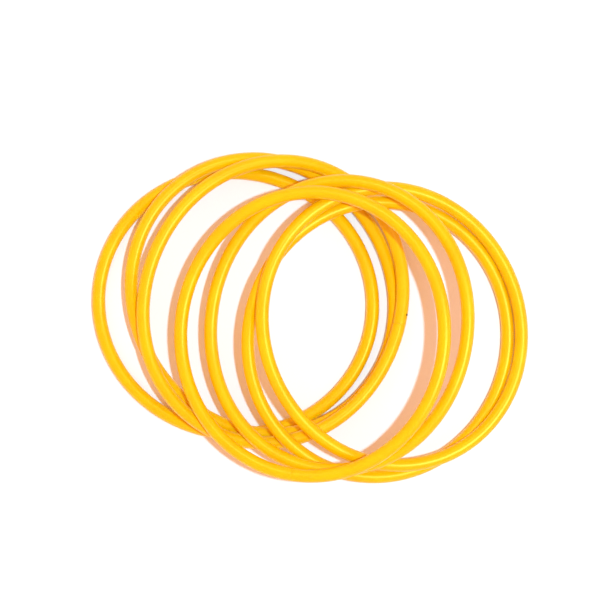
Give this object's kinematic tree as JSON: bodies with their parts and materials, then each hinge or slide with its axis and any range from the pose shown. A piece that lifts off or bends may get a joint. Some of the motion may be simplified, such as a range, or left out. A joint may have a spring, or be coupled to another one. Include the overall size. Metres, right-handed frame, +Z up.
{
  "type": "juggling ring",
  "caption": "Juggling rings of glossy yellow plastic tube in a loose pile; each is a round hoop closed over an inner plug and pin, and lifts off the rings under it.",
  "frame": {"origin": "on the floor, under the middle of the pile's box", "axes": "+X along the pile's long side, +Y across it, +Z up from the floor; each ring lies nearly flat, tilted where it rests on others"},
  "size_m": [0.4952, 0.374, 0.1043],
  "materials": {
    "ring_plastic": "glossy, drawn along the tube",
    "plug_plastic": "natural, uncoloured",
    "pin_steel": "dulled brown"
  },
  "bodies": {
    "ring_1": {"ring_1_tube": "ring_plastic", "ring_1_plug": "plug_plastic", "ring_1_pin": "pin_steel"},
    "ring_2": {"ring_2_tube": "ring_plastic", "ring_2_plug": "plug_plastic", "ring_2_pin": "pin_steel"},
    "ring_3": {"ring_3_tube": "ring_plastic", "ring_3_plug": "plug_plastic", "ring_3_pin": "pin_steel"},
    "ring_4": {"ring_4_tube": "ring_plastic", "ring_4_plug": "plug_plastic", "ring_4_pin": "pin_steel"},
    "ring_5": {"ring_5_tube": "ring_plastic", "ring_5_plug": "plug_plastic", "ring_5_pin": "pin_steel"},
    "ring_6": {"ring_6_tube": "ring_plastic", "ring_6_plug": "plug_plastic", "ring_6_pin": "pin_steel"},
    "ring_7": {"ring_7_tube": "ring_plastic", "ring_7_plug": "plug_plastic", "ring_7_pin": "pin_steel"}
  },
  "joints": [
    {"name": "lift_ring_2", "type": "slide", "parent": "ring_1", "child": "ring_2", "axis": [0, 0, 1], "range_m": [0, 0.1]},
    {"name": "lift_ring_3", "type": "slide", "parent": "ring_2", "child": "ring_3", "axis": [0, 0, 1], "range_m": [0, 0.1]},
    {"name": "lift_ring_4", "type": "slide", "parent": "ring_3", "child": "ring_4", "axis": [0, 0, 1], "range_m": [0, 0.1]},
    {"name": "lift_ring_5", "type": "slide", "parent": "ring_4", "child": "ring_5", "axis": [0, 0, 1], "range_m": [0, 0.1]},
    {"name": "lift_ring_6", "type": "slide", "parent": "ring_5", "child": "ring_6", "axis": [0, 0, 1], "range_m": [0, 0.1]},
    {"name": "lift_ring_7", "type": "slide", "parent": "ring_6", "child": "ring_7", "axis": [0, 0, 1], "range_m": [0, 0.1]}
  ]
}
